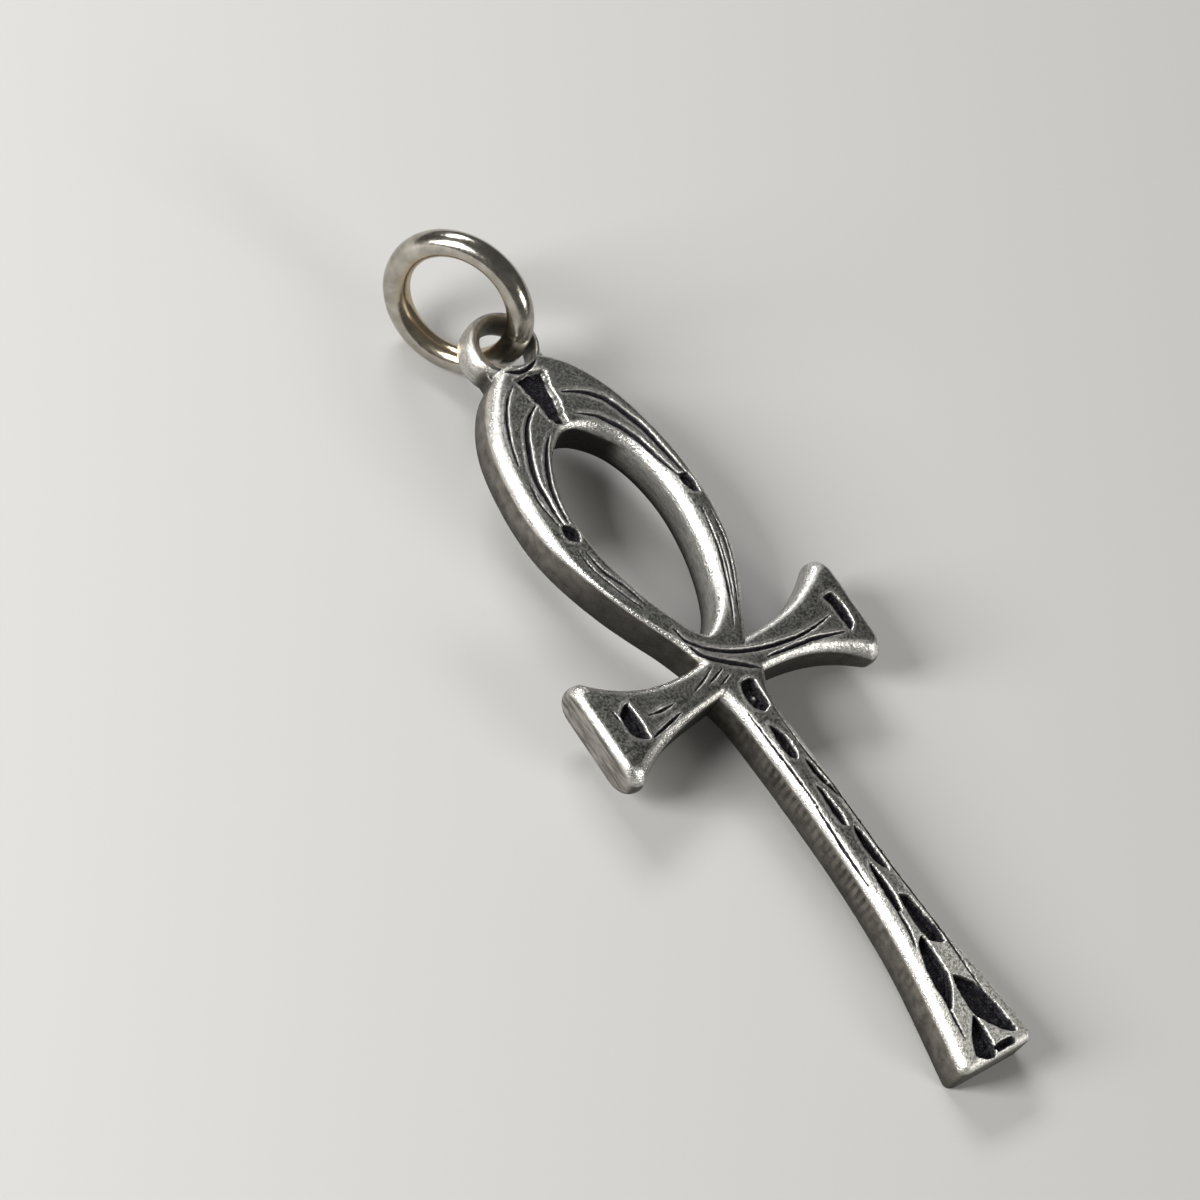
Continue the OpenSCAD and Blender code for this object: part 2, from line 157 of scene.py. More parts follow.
# Fine grooves on the carved face: half-width, depth, then the points of the line, in mm
GROOVES = [
    # left limb of the loop
    (0.07, 0.13, [(-1.24, 17.45), (-1.93, 16.92), (-2.55, 16.13), (-3.0, 15.26), (-3.32, 14.42),
                  (-3.57, 13.62)]),
    (0.13, 0.24, [(-0.85, 16.04), (-1.5, 15.64), (-2.09, 15.0), (-2.5, 14.26), (-2.91, 13.39),
                  (-3.22, 12.47), (-3.29, 11.59), (-3.37, 10.72), (-3.35, 9.9)]),
    (0.11, 0.20, [(-1.04, 14.44), (-1.53, 13.97), (-2.04, 13.29), (-2.45, 12.56), (-2.76, 11.8),
                  (-2.93, 11.12), (-3.01, 10.55), (-3.06, 9.9)]),
    (0.06, 0.08, [(-3.65, 12.52), (-3.77, 11.36), (-3.61, 9.93)]),
    (0.08, 0.12, [(-3.19, 8.22), (-2.96, 6.91), (-2.49, 5.93), (-2.1, 4.6)]),
    (0.045, 0.11, [(-3.52, 8.5), (-3.45, 7.5), (-3.12, 6.4), (-2.7, 5.3), (-2.3, 4.5)]),
    # right limb of the loop
    (0.15, 0.26, [(0.95, 16.14), (1.79, 15.76), (2.59, 15.08), (3.02, 14.34), (3.36, 13.49),
                  (3.67, 12.57), (3.84, 11.48), (4.02, 10.39), (4.16, 9.6)]),
    (0.11, 0.20, [(0.85, 14.87), (1.72, 14.32), (2.23, 13.7), (2.7, 13.01), (3.05, 12.16),
                  (3.31, 11.19), (3.53, 10.39), (3.8, 9.6)]),
    (0.05, 0.12, [(4.15, 7.7), (3.85, 5.89), (3.22, 4.32), (2.45, 2.83), (1.8, 1.7)]),
    (0.05, 0.12, [(3.78, 7.7), (3.3, 5.71), (2.68, 4.13), (1.95, 2.63), (1.4, 1.7)]),
    (0.04, 0.10, [(3.62, 6.1), (3.0, 4.4), (2.2, 2.8)]),
    # crevice under the eye
    (0.13, 0.20, [(-1.1, 18.3), (-0.5, 18.02), (0.1, 17.98), (0.7, 18.2)]),
    # the cross and the right arm
    (0.11, 0.20, [(-1.55, 2.85), (-1.4, 2.12), (-0.91, 1.5), (-0.33, 1.0), (0.57, 0.48),
                  (1.45, 0.16), (2.27, -0.05), (3.26, -0.23), (4.19, -0.31), (5.2, -0.27),
                  (6.3, -0.1)]),
    (0.12, 0.22, [(-1.37, 1.73), (-1.0, 0.95), (-0.22, 0.27), (0.61, -0.33), (1.27, -0.83)]),
    (0.11, 0.18, [(6.47, -1.19), (5.5, -0.95), (4.66, -0.76), (3.89, -0.69), (2.69, -0.56),
                  (1.94, -0.49)]),
    (0.07, 0.10, [(-1.05, 0.31), (-1.8, -0.04), (-2.58, -0.34)]),
    (0.07, 0.10, [(-0.6, 0.02), (-1.1, -0.14), (-1.61, -0.31)]),
    (0.06, 0.08, [(-0.35, -0.36), (-0.8, -0.52), (-1.16, -0.67)]),
    # left arm
    (0.08, 0.13, [(-5.46, -0.32), (-4.67, -0.41), (-3.96, -0.4)]),
    (0.09, 0.15, [(-5.93, -1.4), (-4.91, -1.17), (-3.89, -0.95)]),
    (0.06, 0.09, [(-7.01, 0.74), (-6.92, -0.1)]),
    # shaft
    (0.07, 0.11, [(0.56, -2.82), (0.64, -5.42), (0.88, -7.5), (0.94, -9.68), (0.97, -12.2),
                  (1.1, -14.08), (1.2, -16.23), (1.16, -18.28), (1.2, -20.2), (1.5, -21.87)]),
    (0.04, 0.09, [(-0.74, -2.5), (-0.64, -4.5), (-0.54, -6.5), (-0.5, -8.2)]),
    (0.08, 0.14, [(-0.2, -13.9), (-0.3, -15.32), (-0.55, -16.3)]),
    (0.07, 0.12, [(-0.85, -19.0), (-1.02, -20.0), (-1.2, -21.2)]),
    (0.05, 0.07, [(-0.55, -8.0), (-0.62, -10.3), (-0.66, -12.6)]),
]

# The wedge under the eye: depth, then the corners of its outline, in mm
WEDGE = (0.42, [(-0.95, 17.72), (-0.1, 17.8), (0.77, 17.66), (0.62, 16.68), (0.2, 14.66),
                (-0.4, 14.72), (-0.54, 15.2), (-0.68, 16.4)])

# Other recesses on the carved face: depth, then the corners of the outline, in mm
POCKETS = [
    # pits at the grooves' lower ends
    (0.30, [(-3.48, 9.96), (-3.05, 9.78), (-2.86, 9.36), (-3.15, 8.86), (-3.55, 9.12),
            (-3.62, 9.54)]),
    (0.26, [(3.8, 9.75), (4.25, 9.6), (4.33, 8.98), (4.22, 8.49), (3.89, 8.68), (3.72, 9.22)]),
    # arms and cross
    (0.40, [(6.6, 0.86), (7.15, 0.86), (7.3, 0.03), (7.22, -0.92), (6.8, -1.26), (6.75, -0.52),
            (6.72, 0.33)]),
    (0.40, [(-6.28, 0.68), (-6.05, 0.64), (-5.97, -0.06), (-6.0, -0.63), (-6.08, -1.32),
            (-6.48, -1.19), (-6.82, -0.81), (-6.85, -0.21), (-6.74, 0.32)]),
    (0.42, [(-0.18, -1.05), (0.3, -0.97), (0.58, -1.2), (0.54, -1.95), (0.48, -2.6),
            (0.07, -2.77), (-0.34, -2.43), (-0.4, -1.66)]),
    # leaves down the shaft
    (0.36, [(-0.21, -3.45), (0.05, -3.9), (0.24, -4.6), (0.22, -5.32), (0.02, -5.6),
            (-0.26, -5.35), (-0.34, -4.62), (-0.29, -3.96)]),
    (0.36, [(0.38, -5.69), (0.6, -6.25), (0.68, -6.98), (0.8, -7.8), (0.84, -8.33), (0.5, -7.4),
            (0.33, -6.54)]),
    (0.38, [(0.06, -7.18), (0.2, -7.55), (0.27, -8.35), (0.33, -9.07), (0.21, -9.6),
            (-0.05, -9.35), (-0.04, -8.41), (0.0, -7.65)]),
    (0.40, [(0.5, -9.7), (0.69, -10.3), (0.75, -11.11), (0.76, -12.08), (0.7, -12.43),
            (0.33, -11.8), (0.26, -10.94), (0.34, -10.14)]),
    (0.42, [(0.03, -11.68), (0.15, -12.38), (0.18, -13.17), (0.12, -13.81), (0.0, -14.4),
            (-0.2, -14.35), (-0.26, -13.6), (-0.22, -12.7), (-0.1, -12.0)]),
    (0.44, [(0.38, -13.72), (0.75, -14.02), (0.84, -14.63), (0.92, -15.35), (1.08, -16.04),
            (1.02, -16.64), (0.72, -16.62), (0.36, -16.3), (0.24, -15.75), (0.19, -15.1),
            (0.26, -14.4)]),
    (0.46, [(0.08, -15.98), (0.14, -16.69), (0.1, -17.44), (0.05, -18.09), (-0.12, -18.55),
            (-0.55, -19.2), (-0.84, -19.55), (-0.88, -19.1), (-0.84, -18.36), (-0.7, -17.49),
            (-0.46, -16.67), (-0.25, -16.2)]),
    (0.46, [(0.28, -18.32), (0.71, -18.72), (1.0, -19.2), (1.1, -19.77), (1.24, -20.24),
            (1.35, -20.95), (1.4, -21.98), (0.95, -21.69), (0.43, -21.05), (0.05, -20.35),
            (0.08, -19.43), (0.17, -18.75)]),
    (0.46, [(-0.08, -20.45), (-0.01, -20.99), (-0.06, -21.73), (-0.14, -22.24), (-0.3, -22.5),
            (-0.79, -22.37), (-1.15, -22.06), (-0.83, -21.4), (-0.45, -20.85)]),
    # slot at the foot's end
    (0.30, [(-0.05, -22.2), (0.4, -22.14), (0.95, -22.2), (1.02, -22.42), (0.6, -22.42),
            (0.0, -22.4)]),
]

# Carving, in mm: how far it can reach from its line, the width of a recess wall, the width and
# height of the lip along an edge, and how ragged the edges and how uneven the floors are
CARVE_REACH = 0.5
WALL = 0.11
LIP_W = 0.085
LIP_H = 0.014
RAGGED = 0.02
FLOOR_UNEVEN = 0.05

# The finer raggedness as a share of the coarse one, and how far outside a recess's edge the
# middle of its lip lies, as a share of the lip's width
FINE_RAGGED = 0.6
LIP_OUT = 0.6

# How much wider recesses are cut, in mm, how much wider still near the foot, and how far down
# the shaft that starts and is full
POCKET_GROWTH = 0.035
FOOT_GROWTH = 0.05
FOOT_DOWN = (13, 18)

# Grooves: how much wider they are cut, how their ends taper, where slope and dark floor run as
# shares of the half-width, how much of the raggedness they take, and the depths that raise a lip
GROOVE_GROWTH = 1.28
GROOVE_TAPER = 0.03
GROOVE_SLOPE = (0.15, 1.15)
GROOVE_DARK = (0.6, 1.05)
GROOVE_RAGGED = 0.8
GROOVE_LIP_DEPTH = (0.05, 0.2)

# Where the dark floor of a recess starts and is full, in mm in from the edge. The wedge's edges
# are so many times more ragged, and a bright wall so many mm wide lies beside its floor.
FLOOR_EDGE = (-0.005, 0.06)
WEDGE_RAGGED = 2.6
WEDGE_SHINE = 0.07

# Small raised pip in the recess under the cross, in mm
PIP_AT = (0.12, -1.95)
PIP_R = 0.09
PIP_H = 0.16

# Uneven cast skin, in mm: how far the face is sunk in all, and the heights of its waves
FACE_SINK = 0.012
LONG_WAVES = 0.010
SHORT_WAVES = 0.006

# Wire ring: points around and across, the seam's place in degrees, its depth and width and the
# wire's wear in mm, and where around the wire the painted warm reflection on its inner side starts
# and is full
RING_AROUND = 300
RING_ACROSS = 72
SEAM_AT = 101.5
SEAM_DEPTH = 0.012
SEAM_W = 0.05
WIRE_WEAR = 0.007
WIRE_REFLECTION_RANGE = (0.1, 0.9)

# Random unevenness, one for each use: its seed, and how many waves it has in a mm
GRAINS = {
    "edge": (3, 3.5),
    "fine edge": (4, 8.0),
    "floor": (5, 6.0),
    "long": (6, 1.1),
    "short": (7, 3.0),
    "file": (8, 0.7),
    "wire": (9, 0.9),
}
GRAIN_SIDE = 32


# Curves and tables

def spline(a, b, c, d, t):
    """Smooth curve through four neighbouring rows."""
    return 0.5 * (2 * b + (c - a) * t + (2 * a - 5 * b + 4 * c - d) * t * t
                  + (3 * b - a - 3 * c + d) * t ** 3)


def closed_row(table, place):
    """Row at a place on the smooth closed curve through a table's rows."""
    n, i = len(table), int(math.floor(place))
    return spline(table[(i - 1) % n], table[i % n], table[(i + 1) % n], table[(i + 2) % n],
                  place - i)


def corner_row(table, place):
    """Row at a place on the straight lines between a closed table's rows."""
    i = int(place)
    start, end = table[i % len(table)], table[(i + 1) % len(table)]
    return start + (end - start) * (place - i)


def open_row(table, share):
    """Row at a share of the way along the smooth open curve through a table's rows."""
    last = len(table) - 1
    place = min(max(share, 0.0), 1.0) * last
    i = min(int(place), last - 1)
    return spline(table[max(i - 1, 0)], table[i], table[i + 1], table[min(i + 2, last)], place - i)


def smooth_line(points, steps=6):
    """Points of an open smooth curve through the given ones."""
    p = np.array(points, float)
    last = len(p) - 1
    return np.array([open_row(p, k / (last * steps)) for k in range(last * steps + 1)])


def smooth_closed(points, steps=3):
    """Points of a closed outline halfway between the corners' straight lines and a curve."""
    p = np.array(points, float)
    return np.array([0.5 * closed_row(p, k / steps) + 0.5 * corner_row(p, k / steps)
                     for k in range(len(p) * steps)])


def smoothstep(x, low=0.0, high=1.0):
    """Smooth rise from 0 at low to 1 at high."""
    t = np.clip((x - low) / (high - low), 0.0, 1.0)
    return t * t * (3 - 2 * t)


def grain(use, points):
    """Smooth random unevenness at points in space, between -1 and 1."""
    seed, per_mm = GRAINS[use]
    values = np.random.default_rng(seed).uniform(-1, 1, (GRAIN_SIDE,) * 3)
    q = points * per_mm
    i = np.floor(q).astype(int)
    f = smoothstep(q - i)
    total = np.zeros(len(points))
    for step in np.ndindex(2, 2, 2):
        c = np.array(step)
        weight = np.prod(np.where(c == 1, f, 1 - f), axis=1)
        total += weight * values[tuple(((i + c) % GRAIN_SIDE).T)]
    return total


# Sections and skins

def corner(u, z, r, start, steps):
    """Points of a quarter circle around a middle, from a start in degrees."""
    a = math.radians(start) + np.linspace(0, math.pi / 2, steps + 1)
    return np.stack([u + r * np.cos(a), z + r * np.sin(a)], axis=1)


def section(u0, u1, r_back, r_left, r_right, inset=0.0):
    """Rounded section from u0 to u1 across the body's full thickness, drawn in by inset."""
    rb, rl, rr = (max(r - inset, LEAST_R) for r in (r_back, r_left, r_right))
    low, high, left, right = inset, BODY_T - inset, u0 + inset, u1 - inset
    n = FINE["corner"]
    return np.concatenate([
        corner(left + rb, low + rb, rb, 180, n),
        corner(right - rb, low + rb, rb, 270, n),
        corner(right - rr, high - rr, rr, 0, n),
        corner(left + rl, high - rl, rl, 90, n),
    ])


def skin(rings, closed):
    """Vertices and faces of a solid skin over rings of equally many points."""
    n, m = len(rings), len(rings[0])
    faces = []
    for i in range(n if closed else n - 1):
        for j in range(m):
            a, b = i * m + j, i * m + (j + 1) % m
            c, d = ((i + 1) % n) * m + (j + 1) % m, ((i + 1) % n) * m + j
            faces.append((a, d, c, b))
    if not closed:
        faces.append(tuple(range(m)))
        faces.append(tuple((n - 1) * m + j for j in range(m - 1, -1, -1)))
    return np.concatenate(rings), faces


def bar_stations(end, r):
    """Places along a bar and how far the section is drawn in there, with the end worn round."""
    run = [(end - r) * k / FINE["bar"] for k in range(FINE["bar"])]
    turns = np.linspace(0, math.pi / 2, FINE["corner"] + 1)
    rounding = [(end - r + r * math.sin(a), r * (1 - math.cos(a))) for a in turns]
    return [(x, 0.0) for x in run] + rounding


def loop_edges(outer, inner):
    """Radii of the loop's inner and outer front edges at one place around it."""
    worn_in = smoothstep(inner[0] / LOOP_HALF_W, *WORN_IN_X)
    limb = smoothstep(-outer[0] / LOOP_HALF_W, *WORN_OUT_X)
    limb_r = LOOP_CRISP_R + (LOOP_WORN_R - LOOP_CRISP_R) * smoothstep(outer[1], *LIMB_WORN_Y)
    return (FRONT_EDGE_R + (LOOP_WORN_R - FRONT_EDGE_R) * worn_in,
            FRONT_EDGE_R + limb * (limb_r - FRONT_EDGE_R))


def loop_skin():
    """The loop: sections across its band, all the way around the opening."""
    rings = []
    for k in range(len(LOOP) * FINE["loop"]):
        row = closed_row(LOOP, k / FINE["loop"])
        outer = row[:2] * (LOOP_HALF_W, LOOP_TOP)
        inner = row[2:] * (LOOP_HALF_W, LOOP_TOP)
        width = np.linalg.norm(outer - inner)
        side = (outer - inner) / width
        r_in, r_out = (min(r, MOST_WORN * width) for r in loop_edges(outer, inner))
        s = section(0, width, BACK_EDGE_R, r_in, r_out)
        rings.append(np.column_stack([inner + s[:, :1] * side, s[:, 1]]))
    return skin(rings, True)


def arm_skin(side):
    """An arm that flares towards its worn end, on the right for side 1 and the left for -1."""
    rings = []
    for x, inset in bar_stations(ARM_LEN - SKIN_GAP, ARM_END_RIM_R):
        flare = min(x / (ARM_LEN - ARM_END_EDGE_R), 1.0) ** ARM_FLARE_POWER
        h = ARM_WAIST_HALF_H + (ARM_END_HALF_H - ARM_WAIST_HALF_H) * flare
        sag = LEFT_ARM_SAG * math.sin(math.pi * x / ARM_LEN) if side < 0 else 0.0
        r_back = BACK_EDGE_R + (ARM_END_CORNER_R - BACK_EDGE_R) * flare
        r_front = FRONT_EDGE_R + (ARM_END_CORNER_R - FRONT_EDGE_R) * flare
        s = section(-h - sag, h - sag, r_back, r_front, r_front, inset)
        rings.append(np.column_stack([np.full(len(s), side * x), s]))
    verts, faces = skin(rings, False)
    return verts, faces if side > 0 else [f[::-1] for f in faces]


def shaft_skin():
    """The shaft, which widens towards its slightly slanted foot."""
    rings = []
    for y, inset in bar_stations(SHAFT_LEN, FRONT_EDGE_R):
        left, right = open_row(SHAFT, y / SHAFT_LEN) * FOOT_HALF_W
        cut = FOOT_SLANT * (y / SHAFT_LEN) ** SLANT_POWER
        s = section(-left, right, BACK_EDGE_R, SHAFT_WORN_R, FRONT_EDGE_R, inset)
        along = cut * (right - FRONT_EDGE_R - s[:, 0]) / (left + right) - y
        rings.append(np.column_stack([s[:, 0], along, s[:, 1]]))
    return skin(rings, False)


# Place of the ring, the eye and the body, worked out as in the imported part

RING_LEVEL = np.array([-math.sin(RING_TURN), math.cos(RING_TURN), 0.0])
RING_STEEP = np.array([math.sin(RING_LEAN) * math.cos(RING_TURN),
                       math.sin(RING_LEAN) * math.sin(RING_TURN), math.cos(RING_LEAN)])
RING_INWARD = math.cos(RING_PASS) * RING_LEVEL + math.sin(RING_PASS) * RING_STEEP


def hole_radius():
    """Free radius that the leaning wire needs in an eye with a rounded wall."""
    thin = EYE_WALL - EYE_SKEW
    along = math.cos(RING_PASS) * RING_STEEP - math.sin(RING_PASS) * RING_LEVEL
    needs = []
    for a in np.radians(np.linspace(-PASS_SWEEP, PASS_SWEEP, PASS_STEPS)):
        p = RING_R * (math.sin(a) * along + (1 - math.cos(a)) * RING_INWARD)
        d = math.cos(a) * along + math.sin(a) * RING_INWARD
        back = 1 - math.sqrt(max(0.0, 1 - (2 * p[2] / EYE_T) ** 2))
        if abs(p[2]) < EYE_T / 2:
            from_axis = math.hypot(p[0] + WIRE_OFF_X, p[1])
            needs.append(from_axis + WIRE_R / abs(d[2]) - thin / 2 * back)
    return max(needs) + EYE_GAP


EYE_HOLE_R = hole_radius()
EYE_OUTER_R = EYE_HOLE_R + EYE_WALL
EYE_Y = LOOP_TOP - EYE_SINK + EYE_OUTER_R
RING_MID_Z = WIRE_R + RING_R * RING_STEEP[2]
EYE_MID_Z = RING_MID_Z - RING_R * math.sin(RING_PASS) * RING_STEEP[2]
REST_LEN = SHAFT_LEN - FRONT_EDGE_R
BODY_TIP = (math.asin((EYE_MID_Z + FOOT_WEAR) / math.hypot(REST_LEN + EYE_Y, BODY_T / 2))
            - math.atan2(BODY_T / 2, REST_LEN + EYE_Y))


def placement():
    """Matrix that takes the pendant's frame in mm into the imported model's frame in metres."""
    mount = next(m for m in frame["record"]["mounts"] if m["name"] == "chain_opening")
    crossing_y = EYE_Y * math.cos(BODY_TIP) - BODY_T / 2 * math.sin(BODY_TIP)
    ring_mid_y = crossing_y + RING_R * RING_INWARD[1]
    shift = mount["pos_m"][1] / MM - ring_mid_y
    lift = REST_LEN * math.sin(BODY_TIP) - FOOT_WEAR
    return (Matrix.Scale(MM, 4) @ Matrix.Translation((0, shift, lift))
            @ Matrix.Rotation(BODY_TIP, 4, "X"))


def eye_skin():
    """The eye: an oval wall around a hole that lies off the middle."""
    rings = []
    profile = np.linspace(0, 2 * math.pi, FINE["profile"], endpoint=False)
    share = ((1 + np.cos(profile)) / 2)[:, None]
    for turn in np.linspace(0, 2 * math.pi, FINE["round"], endpoint=False):
        d = np.array([math.cos(turn), math.sin(turn)])
        inner, outer = np.array([EYE_SKEW, 0]) + EYE_HOLE_R * d, EYE_OUTER_R * d
        flat = inner + (outer - inner) * share + (EYE_X, EYE_Y)
        rings.append(np.column_stack([flat, BODY_T / 2 - EYE_T / 2 * np.sin(profile)]))
    return skin(rings, True)


def disc(x, y, r, z0, z1):
    """Points of the two rims of a flat disc."""
    a = np.linspace(0, 2 * math.pi, FINE["round"], endpoint=False)
    ring = np.column_stack([x + r * np.cos(a), y + r * np.sin(a)])
    return np.concatenate([np.column_stack([ring, np.full(len(a), z)]) for z in (z0, z1)])


# Objects

def new_object(name, verts, faces):
    mesh = bpy.data.meshes.new(name)
    mesh.from_pydata([tuple(v) for v in verts], [], faces)
    mesh.validate()
    obj = bpy.data.objects.new(name, mesh)
    bpy.context.scene.collection.objects.link(obj)
    return obj


def hull_object(name, points):
    """Object with the tightest skin around points that bulges outwards everywhere."""
    obj = new_object(name, points, [])
    bm = bmesh.new()
    bm.from_mesh(obj.data)
    found = bmesh.ops.convex_hull(bm, input=bm.verts)
    within = [v for v in found["geom_interior"] if v.is_valid]
    bmesh.ops.delete(bm, geom=within, context="VERTS")
    bm.to_mesh(obj.data)
    bm.free()
    return obj


def apply_modifier(obj, kind, **settings):
    """Runs a modifier once and keeps its result as the object's mesh."""
    mod = obj.modifiers.new(kind.lower(), kind)
    for key, value in settings.items():
        setattr(mod, key, value)
    graph = bpy.context.evaluated_depsgraph_get()
    mesh = bpy.data.meshes.new_from_object(obj.evaluated_get(graph))
    old = obj.data
    obj.modifiers.clear()
    obj.data = mesh
    bpy.data.meshes.remove(old)


def remove(obj):
    mesh = obj.data
    bpy.data.objects.remove(obj)
    bpy.data.meshes.remove(mesh)


def join(objects, name):
    """One object with the meshes of several, which are removed."""
    bm = bmesh.new()
    for obj in objects:
        bm.from_mesh(obj.data)
    mesh = bpy.data.meshes.new(name)
    bm.to_mesh(mesh)
    bm.free()
    for obj in objects:
        remove(obj)
    obj = bpy.data.objects.new(name, mesh)
    bpy.context.scene.collection.objects.link(obj)
    return obj


def coords(mesh):
    co = np.empty(len(mesh.vertices) * 3)
    mesh.vertices.foreach_get("co", co)
    return co.reshape(-1, 3)


def normals(mesh):
    no = np.empty(len(mesh.vertices) * 3)
    mesh.vertex_normals.foreach_get("vector", no)
    return no.reshape(-1, 3)


def set_coords(mesh, co):
    mesh.vertices.foreach_set("co", np.ascontiguousarray(co, float).ravel())
    mesh.update()


def set_mask(mesh, name, values):
    """Keeps a mask as a number at each point, for the material."""
    layer = mesh.attributes.new(name, "FLOAT", "POINT")
    layer.data.foreach_set("value", np.ascontiguousarray(values, float))


# Carving: depth under the face and the masks that the material uses, at points on the face

def line_distance(p, line):
    """Distance from points to a polyline, and how far along it the nearest place is, 0 to 1."""
    best, where = np.full(len(p), 1e9), np.zeros(len(p))
    steps = np.linalg.norm(np.diff(line, axis=0), axis=1)
    starts = np.concatenate([[0], np.cumsum(steps)])
    for a, b, s, length in zip(line[:-1], line[1:], starts, steps):
        t = np.clip(((p - a) @ (b - a)) / length ** 2, 0, 1)
        d = np.linalg.norm(p - a - t[:, None] * (b - a), axis=1)
        near = d < best
        best[near] = d[near]
        where[near] = (s + t * length)[near] / starts[-1]
    return best, where


def inside(p, outline):
    """Whether points lie inside a closed outline."""
    hit = np.zeros(len(p), bool)
    for a, b in zip(outline, np.roll(outline, -1, axis=0)):
        spans = (a[1] > p[:, 1]) != (b[1] > p[:, 1])
        if abs(b[1] - a[1]) > 1e-9:
            hit ^= spans & (p[:, 0] < a[0] + (p[:, 1] - a[1]) * (b[0] - a[0]) / (b[1] - a[1]))
    return hit


def near_line(xy, line):
    """Numbers of the points that the carving along a line can reach."""
    low, high = line.min(0) - CARVE_REACH, line.max(0) + CARVE_REACH
    return np.flatnonzero(((xy > low) & (xy < high)).all(1))


def cut_groove(p, rough, half_w, deep, line):
    """Depth, dark floor and lip of one groove at points near it."""
    d, t = line_distance(p, line)
    full = np.sqrt(np.sin(math.pi * (GROOVE_TAPER + (1 - 2 * GROOVE_TAPER) * t)))
    w = half_w * GROOVE_GROWTH * full
    across = (d + rough * GROOVE_RAGGED) / w
    lip = full * np.exp(-(((d + rough) - w - LIP_W) / LIP_W) ** 2)
    return (deep * full * (1 - smoothstep(across, *GROOVE_SLOPE)),
            1 - smoothstep(across, *GROOVE_DARK),
            lip * smoothstep(deep, *GROOVE_LIP_DEPTH))


def cut_recess(p, rough, floor, deep, outline, shine):
    """Depth, dark floor and lip of one recess, whose wall stays bright as far in as shine."""
    d, _ = line_distance(p, np.vstack([outline, outline[:1]]))
    growth = POCKET_GROWTH + FOOT_GROWTH * smoothstep(-outline[:, 1].mean(), *FOOT_DOWN)
    within = np.where(inside(p, outline), d, -d) + rough + growth
    return ((deep + FLOOR_UNEVEN * floor) * smoothstep(within, 0.0, WALL),
            smoothstep(within, shine + FLOOR_EDGE[0], shine + FLOOR_EDGE[1]),
            np.exp(-((within + LIP_OUT * LIP_W) / LIP_W) ** 2))


def carve(points):
    """Depth of the carving, its dark floor and its bright lip, at points on the face."""
    xy = points[:, :2]
    flat = np.column_stack([xy, np.zeros(len(xy))])
    rough = RAGGED * (grain("edge", flat) + FINE_RAGGED * grain("fine edge", flat))
    floor = grain("floor", flat)
    result = np.zeros((3, len(xy)))
    for half_w, deep, course in GROOVES:
        line = smooth_line(course)
        k = near_line(xy, line)
        result[:, k] = np.maximum(result[:, k], cut_groove(xy[k], rough[k], half_w, deep, line))
    recesses = [(WEDGE, WEDGE_RAGGED, WEDGE_SHINE)] + [(pocket, 1, 0) for pocket in POCKETS]
    for (deep, corners), ragged, shine in recesses:
        outline = smooth_closed(corners)
        k = near_line(xy, outline)
        cut = cut_recess(xy[k], rough[k] * ragged, floor[k], deep, outline, shine)
        result[:, k] = np.maximum(result[:, k], cut)
    depth, dark, lip = result
    pip = np.exp(-(np.linalg.norm(xy - PIP_AT, axis=1) / PIP_R) ** 2)
    return depth - PIP_H * pip, dark * (1 - pip), np.maximum(lip, pip)


# The casting

def cast_form():
    """One closed skin over all the forms of the casting, still uncarved, in mm."""
    parts = [new_object("loop", *loop_skin()), new_object("shaft", *shaft_skin())]
    parts += [new_object("arm", *arm_skin(side)) for side in (1, -1)]
    z0, z1 = (BODY_T - NECK_T) / 2, (BODY_T + NECK_T) / 2
    neck = hull_object("neck", np.concatenate([
        disc(EYE_X, EYE_Y, EYE_OUTER_R - EYE_WALL / 2, z0, z1),
        disc(EYE_X / 2, LOOP_TOP - NECK_DEPTH, NECK_HALF_W, z0, z1)]))
    room_r = EYE_HOLE_R + (EYE_WALL - EYE_SKEW) * ROOM_SHARE
    room = hull_object("room", disc(EYE_X + EYE_SKEW, EYE_Y, room_r, -1, BODY_T + 1))
    for obj in (parts[0], neck):
        apply_modifier(obj, "BOOLEAN", operation="DIFFERENCE", object=room, solver="EXACT")
    remove(room)
    obj = join(parts + [neck, new_object("eye", *eye_skin())], "ankh_casting")
    apply_modifier(obj, "REMESH", mode="VOXEL", voxel_size=CELL)
    apply_modifier(obj, "SMOOTH", factor=0.5, iterations=SMOOTHINGS)
    return obj


# The carved face: from where to where its normals point up enough and its points lie high
# enough, where it ends below the eye, and how shallow the carving is where a lip stands up,
# all but the first in mm
FACE_UP = (0.35, 0.75)
FACE_Z = (1.7, 2.1)
FACE_END_Y = 18.6
LIP_MOST_DEPTH = 0.05


def carve_face(mesh):
    """Sinks the carving into the face and makes the face slightly uneven."""
    co, no = coords(mesh), normals(mesh)
    share = smoothstep(no[:, 2], *FACE_UP) * smoothstep(co[:, 2], *FACE_Z) * (co[:, 1] < FACE_END_Y)
    k = np.flatnonzero(share > 0)
    depth, _, lip = carve(co[k])
    uneven = LONG_WAVES * grain("long", co[k]) + SHORT_WAVES * grain("short", co[k])
    raised = LIP_H * lip * (depth < LIP_MOST_DEPTH)
    co[k, 2] -= share[k] * (depth - raised + uneven + FACE_SINK)
    set_coords(mesh, co)


def wear_foot(mesh):
    """Wears the foot's back corner flat where it lies on the floor."""
    co = coords(mesh)
    co[:, 2] = np.maximum(co[:, 2], 0.0)
    set_coords(mesh, co)


def casting():
    """The whole carved casting with its masks, in the frame's place."""
    obj = cast_form()
    carve_face(obj.data)
    triangles = sum(len(p.vertices) - 2 for p in obj.data.polygons)
    apply_modifier(obj, "DECIMATE", ratio=min(1.0, MOST_TRIANGLES / triangles))
    paint_masks(obj.data)
    obj.data.transform(placement())
    wear_foot(obj.data)
    obj.data.shade_smooth()
    return obj


